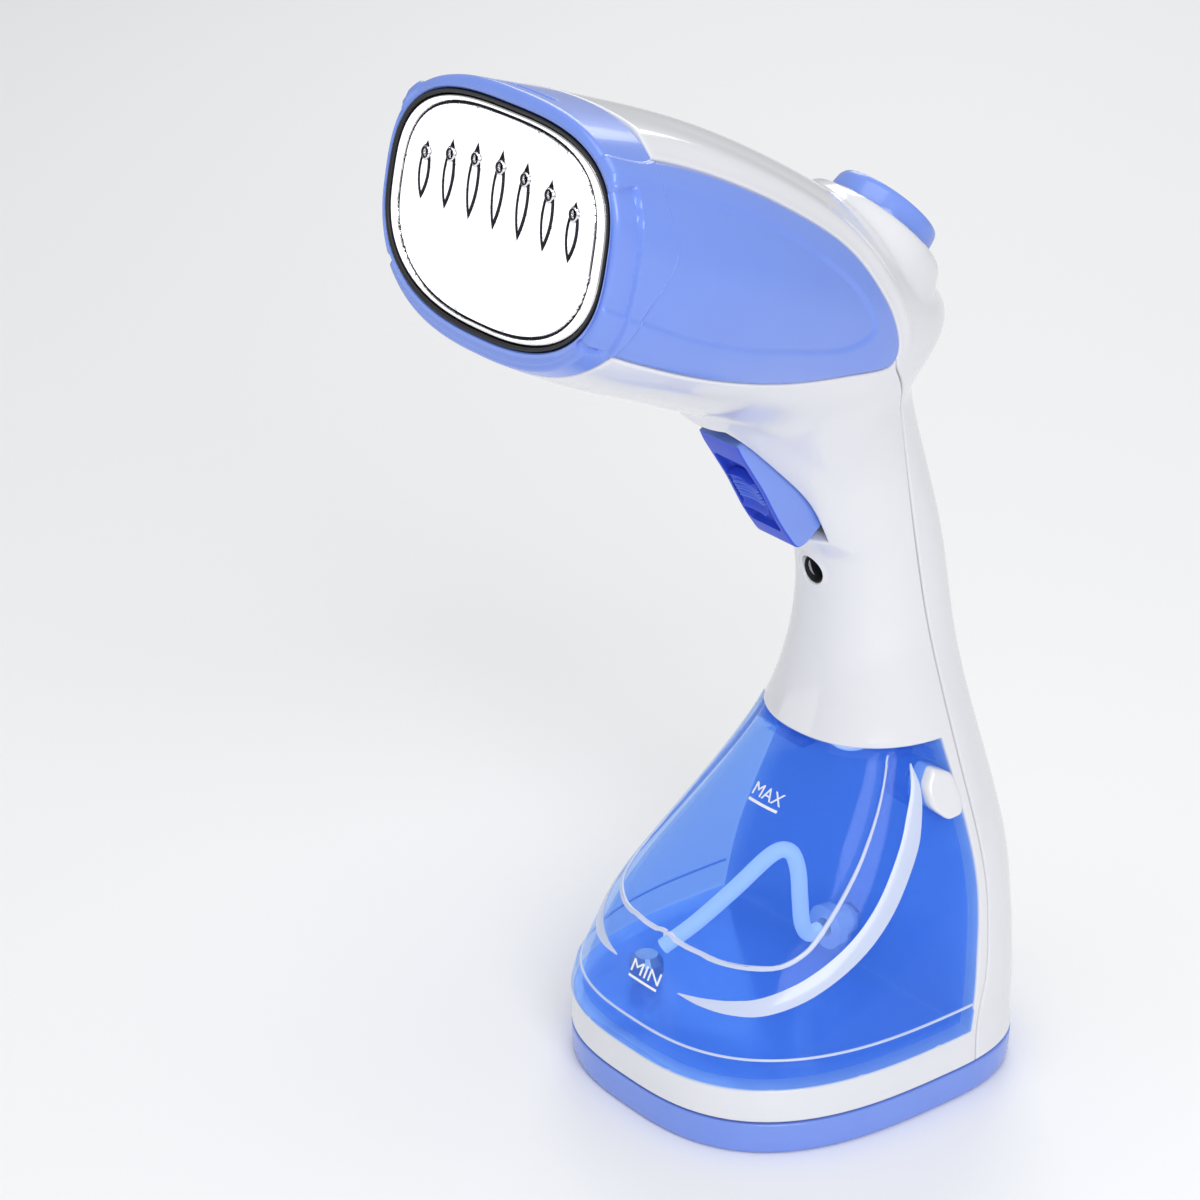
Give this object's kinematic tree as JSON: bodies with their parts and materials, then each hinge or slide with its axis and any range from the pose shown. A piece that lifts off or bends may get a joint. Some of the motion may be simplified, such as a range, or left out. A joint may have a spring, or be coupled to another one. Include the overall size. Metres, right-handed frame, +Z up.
{
  "type": "handheld garment steamer",
  "caption": "Handheld garment steamer with an oval steam plate, a trigger handle, a steam dial and a slide-out water tank in a wide standing base.",
  "frame": {"origin": "centre of the base's underside, in the plane of symmetry", "axes": "+Z up from the underside it stands on, -Y towards the steam plate, +X to the steamer's left"},
  "size_m": [0.1012, 0.1544, 0.2806],
  "materials": {
    "casing_white": "glossy white plastic",
    "casing_blue": "glossy periwinkle-blue plastic",
    "lock_blue": "glossy deep-blue plastic",
    "tank_blue": "clear blue plastic",
    "gasket_rubber": "black rubber",
    "pad_rubber": "grey rubber",
    "silicone": "milky silicone",
    "wire_insulation": "black insulation",
    "polished_steel": "mirror-polished",
    "steel": "satin",
    "cast_aluminium": "as cast",
    "circuit_board": "green laminate",
    "dark_plastic": "black plastic",
    "plunger_plastic": "white plastic"
  },
  "bodies": {
    "housing": {"base_foot": "casing_blue", "base_screw_1": "steel", "base_screw_2": "steel", "base_screw_3": "steel", "base_screw_4": "steel", "boiler_body": "cast_aluminium", "boiler_cover": "cast_aluminium", "control_board": "circuit_board", "cord_gland": "gasket_rubber", "delivery_hose": "silicone", "foot_pad_1": "pad_rubber", "foot_pad_2": "pad_rubber", "foot_pad_3": "pad_rubber", "foot_pad_4": "pad_rubber", "front_housing": "casing_white", "handle_screw": "steel", "heating_element": "steel", "nozzle_bezel": "casing_blue", "plate_gasket": "gasket_rubber", "pump_body": "casing_white", "pump_coil": "dark_plastic", "rear_cover": "casing_white", "side_panel_left": "casing_blue", "side_panel_right": "casing_blue", "steam_chamber": "cast_aluminium", "steam_plate": "polished_steel", "steam_tube": "silicone", "steam_valve": "dark_plastic", "suction_hose": "silicone", "switch_body": "dark_plastic", "switch_bracket": "casing_white", "tank_coupling": "dark_plastic", "thermal_fuse": "silicone", "thermostat": "steel", "trigger_pin": "steel", "trigger_spring": "steel", "wiring_loom": "wire_insulation"},
    "dial": {"dial_knob": "casing_blue", "dial_ring": "casing_white", "dial_cap": "casing_blue", "dial_shaft": "steel"},
    "trigger": {"trigger": "casing_blue"},
    "trigger_lock": {"trigger_lock": "lock_blue"},
    "switch_plunger": {"switch_plunger": "plunger_plastic"},
    "tank": {"tank_shell": "tank_blue", "filler_plug": "silicone", "tank_valve": "casing_white", "dip_hose": "silicone", "inlet_filter": "steel", "button_spring_left": "steel", "button_spring_right": "steel"},
    "button_left": {"release_button_left": "casing_white"},
    "button_right": {"release_button_right": "casing_white"}
  },
  "joints": [
    {"name": "dial_turn", "type": "hinge", "parent": "housing", "child": "dial", "pos_m": [0, 0.0238, 0.2243], "axis": [0, 0.7314, 0.682], "range_deg": [-264, 0]},
    {"name": "trigger_pull", "type": "hinge", "parent": "housing", "child": "trigger", "pos_m": [0, -0.016, 0.1836], "axis": [1, 0, 0], "range_deg": [0, 7.5], "stiffness_Nm_per_rad": 0.5, "springref_deg": -5.73, "deforming": ["trigger_spring"]},
    {"name": "lock_slide", "type": "slide", "parent": "trigger", "child": "trigger_lock", "axis": [0, -0.515, 0.8572], "range_m": [0, 0.006]},
    {"name": "plunger_press", "type": "slide", "parent": "housing", "child": "switch_plunger", "axis": [0, 1, 0], "range_m": [0, 0.0035]},
    {"name": "tank_slide", "type": "slide", "parent": "housing", "child": "tank", "axis": [0, -1, 0], "range_m": [0, 0.11]},
    {"name": "button_left_press", "type": "slide", "parent": "tank", "child": "button_left", "axis": [-1, 0, 0], "range_m": [0, 0.0025], "stiffness_N_per_m": 400, "springref_m": -0.001, "deforming": ["button_spring_left"]},
    {"name": "button_right_press", "type": "slide", "parent": "tank", "child": "button_right", "axis": [1, 0, 0], "range_m": [0, 0.0025], "stiffness_N_per_m": 400, "springref_m": -0.001, "deforming": ["button_spring_right"]}
  ],
  "couplings": [
    {"joint": "plunger_press", "follows": "trigger_pull", "m_per_rad": 0.0266}
  ]
}
